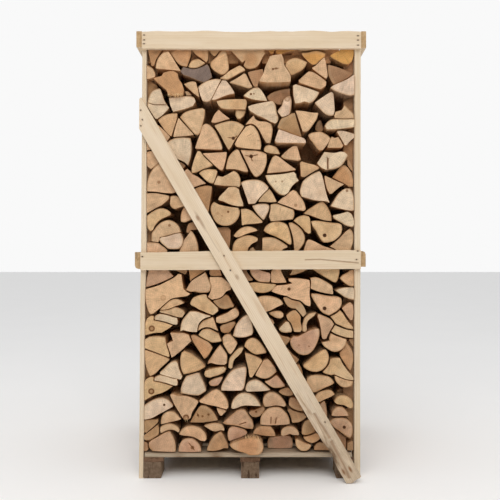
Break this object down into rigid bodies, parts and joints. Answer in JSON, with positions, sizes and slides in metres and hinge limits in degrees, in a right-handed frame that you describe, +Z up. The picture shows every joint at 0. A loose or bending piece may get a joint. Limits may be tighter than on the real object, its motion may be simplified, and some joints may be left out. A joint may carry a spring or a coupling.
{
  "type": "crate pallet of split firewood",
  "caption": "Tall open timber crate on a fork-lift pallet, filled with stacked split oak firewood logs, with rails and a diagonal brace across the face.",
  "frame": {"origin": "centre of the crate's footprint on the floor", "axes": "+Z up, -Y towards the face with the log ends and the diagonal brace, +X to the right seen from there"},
  "size_m": [1.102, 1.1394, 2.13],
  "materials": {
    "pallet_block": "weathered rough-sawn softwood",
    "pallet_stringer": "weathered rough-sawn softwood",
    "pallet_deck": "rough-sawn softwood with waney edges",
    "crate_post": "rough-sawn pale softwood",
    "crate_rail": "rough-sawn pale softwood",
    "crate_brace": "rough-sawn pale softwood",
    "oak_firewood": "split and sawn dry oak, matt, with thin grey-brown bark"
  },
  "bodies": {
    "root": {"block_front_left": "pallet_block", "block_front_centre": "pallet_block", "block_front_right": "pallet_block", "block_middle_left": "pallet_block", "block_middle_centre": "pallet_block", "block_middle_right": "pallet_block", "block_back_left": "pallet_block", "block_back_centre": "pallet_block", "block_back_right": "pallet_block", "stringer_left": "pallet_stringer", "stringer_centre": "pallet_stringer", "stringer_right": "pallet_stringer", "deck_board_1": "pallet_deck", "deck_board_2": "pallet_deck", "deck_board_3": "pallet_deck", "deck_board_4": "pallet_deck", "deck_board_5": "pallet_deck", "deck_board_6": "pallet_deck", "deck_board_7": "pallet_deck", "post_front_left": "crate_post", "post_front_right": "crate_post", "post_middle_left": "crate_post", "post_middle_right": "crate_post", "post_back_left": "crate_post", "post_back_right": "crate_post", "rail_top_front": "crate_rail", "rail_top_back": "crate_rail", "rail_top_left": "crate_rail", "rail_top_right": "crate_rail", "rail_mid_front": "crate_rail", "rail_mid_back": "crate_rail", "rail_mid_left": "crate_rail", "rail_mid_right": "crate_rail", "brace_front": "crate_brace", "brace_back": "crate_brace", "firewood_rank_front": "oak_firewood", "firewood_rank_second": "oak_firewood", "firewood_rank_third": "oak_firewood", "firewood_rank_back": "oak_firewood"}
  },
  "joints": []
}
